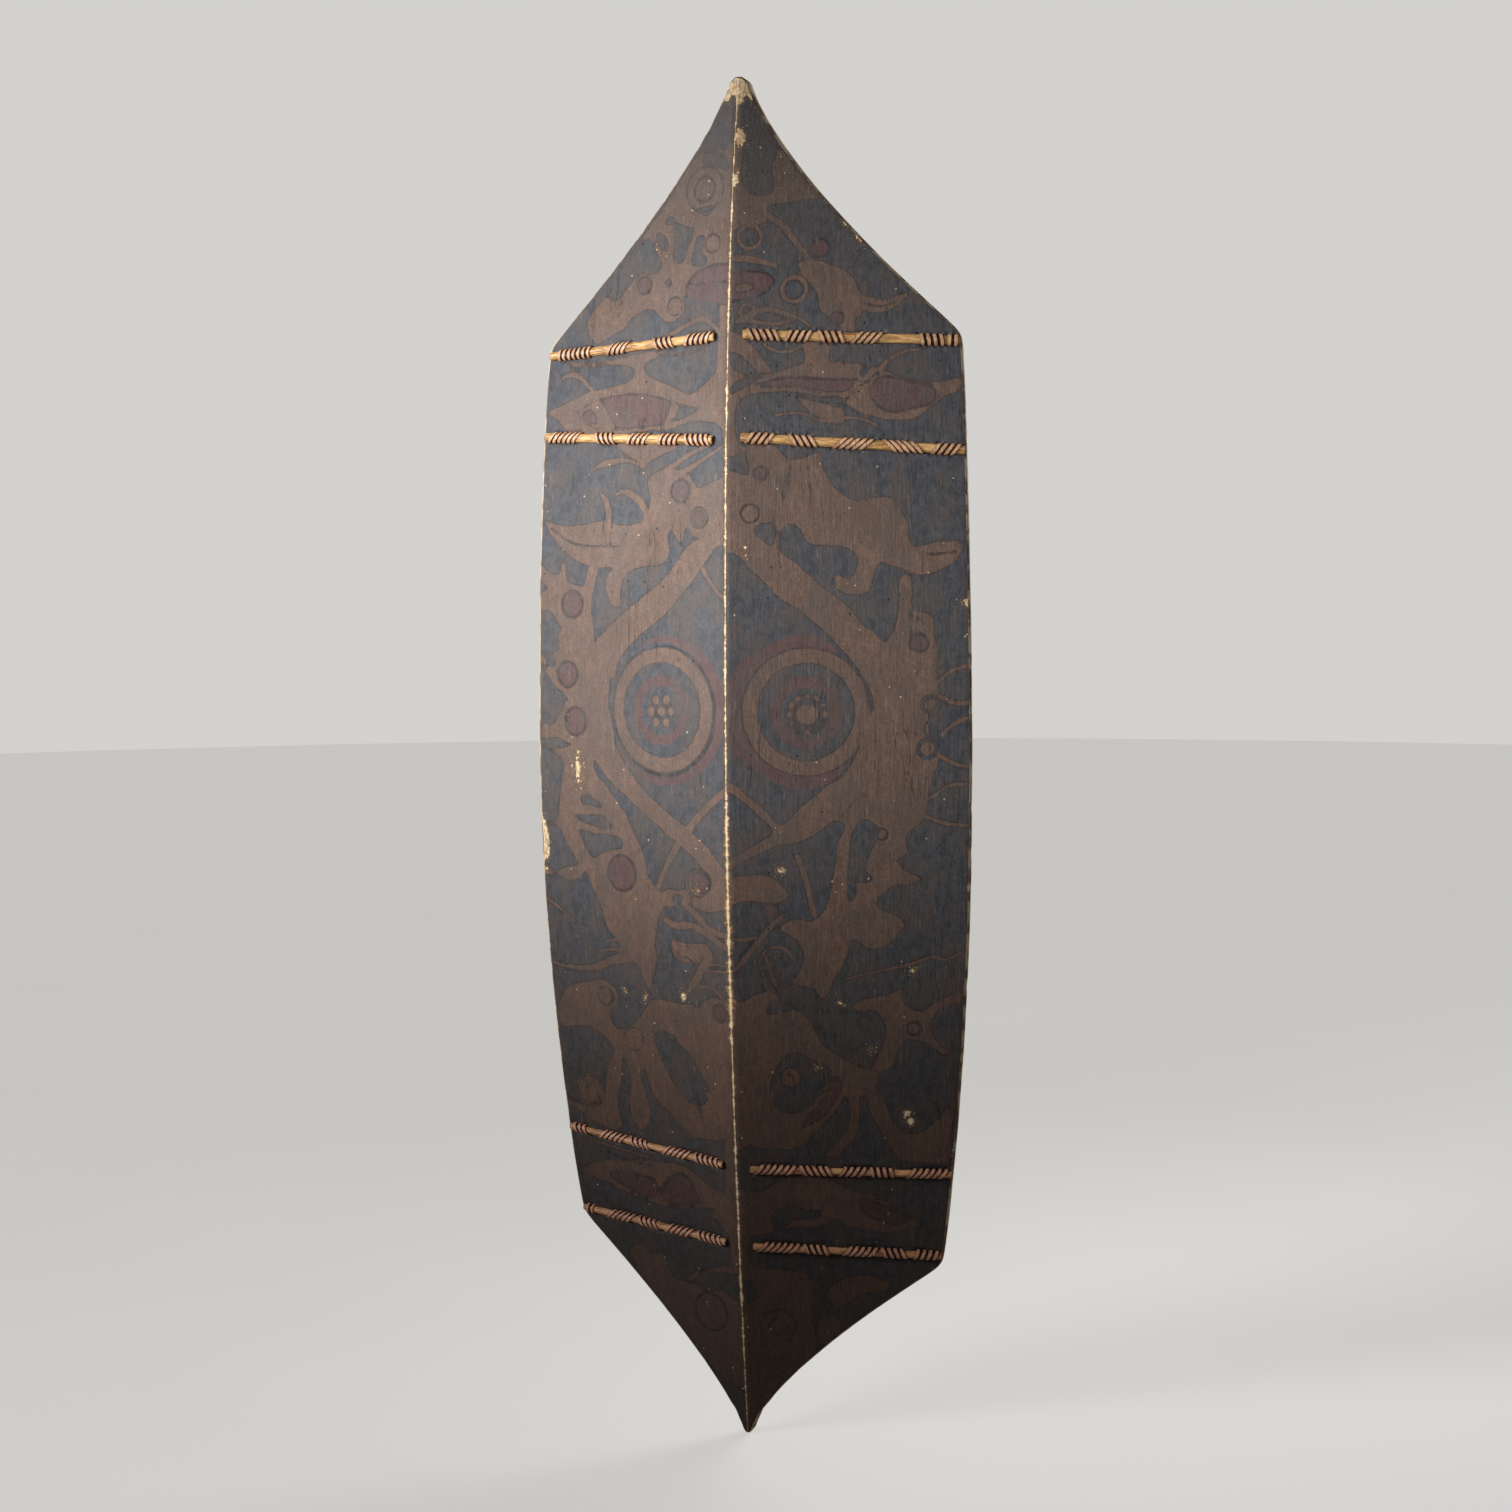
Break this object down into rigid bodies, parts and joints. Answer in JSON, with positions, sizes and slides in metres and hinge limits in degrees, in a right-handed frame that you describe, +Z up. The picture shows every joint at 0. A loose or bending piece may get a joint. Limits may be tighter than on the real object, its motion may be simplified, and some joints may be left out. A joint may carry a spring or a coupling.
{
  "type": "parrying shield",
  "caption": "Long pointed wooden parrying shield of shallow V section, painted front, grip carved behind the ridge, split-cane laths sewn across it with cane strand.",
  "frame": {"origin": "middle of the hand grip's bar", "axes": "+Z up along the shield towards its broader tip end, +X to the right as one looks at the painted face, +Y out of the back, so that the painted face looks along -Y"},
  "size_m": [0.409, 0.0997, 1.22],
  "materials": {
    "painted_wood": "dark painted figures on worn wood, satin",
    "split_cane": "split cane with its natural skin, satin",
    "cane_strand": "flat cane strand, stained brown, satin"
  },
  "bodies": {
    "root": {"board": "painted_wood", "front_lath_upper_outer_left": "split_cane", "front_lath_upper_inner_left": "split_cane", "front_lath_upper_outer_right": "split_cane", "front_lath_upper_inner_right": "split_cane", "front_lath_lower_inner_left": "split_cane", "front_lath_lower_outer_left": "split_cane", "front_lath_lower_inner_right": "split_cane", "front_lath_lower_outer_right": "split_cane", "back_lath_upper_outer_left": "split_cane", "back_lath_upper_inner_left": "split_cane", "back_lath_upper_outer_right": "split_cane", "back_lath_upper_inner_right": "split_cane", "back_lath_lower_inner_left": "split_cane", "back_lath_lower_outer_left": "split_cane", "back_lath_lower_inner_right": "split_cane", "back_lath_lower_outer_right": "split_cane", "lashing_upper_outer_left": "cane_strand", "lashing_upper_inner_left": "cane_strand", "lashing_upper_outer_right": "cane_strand", "lashing_upper_inner_right": "cane_strand", "lashing_lower_inner_left": "cane_strand", "lashing_lower_outer_left": "cane_strand", "lashing_lower_inner_right": "cane_strand", "lashing_lower_outer_right": "cane_strand"}
  },
  "joints": []
}
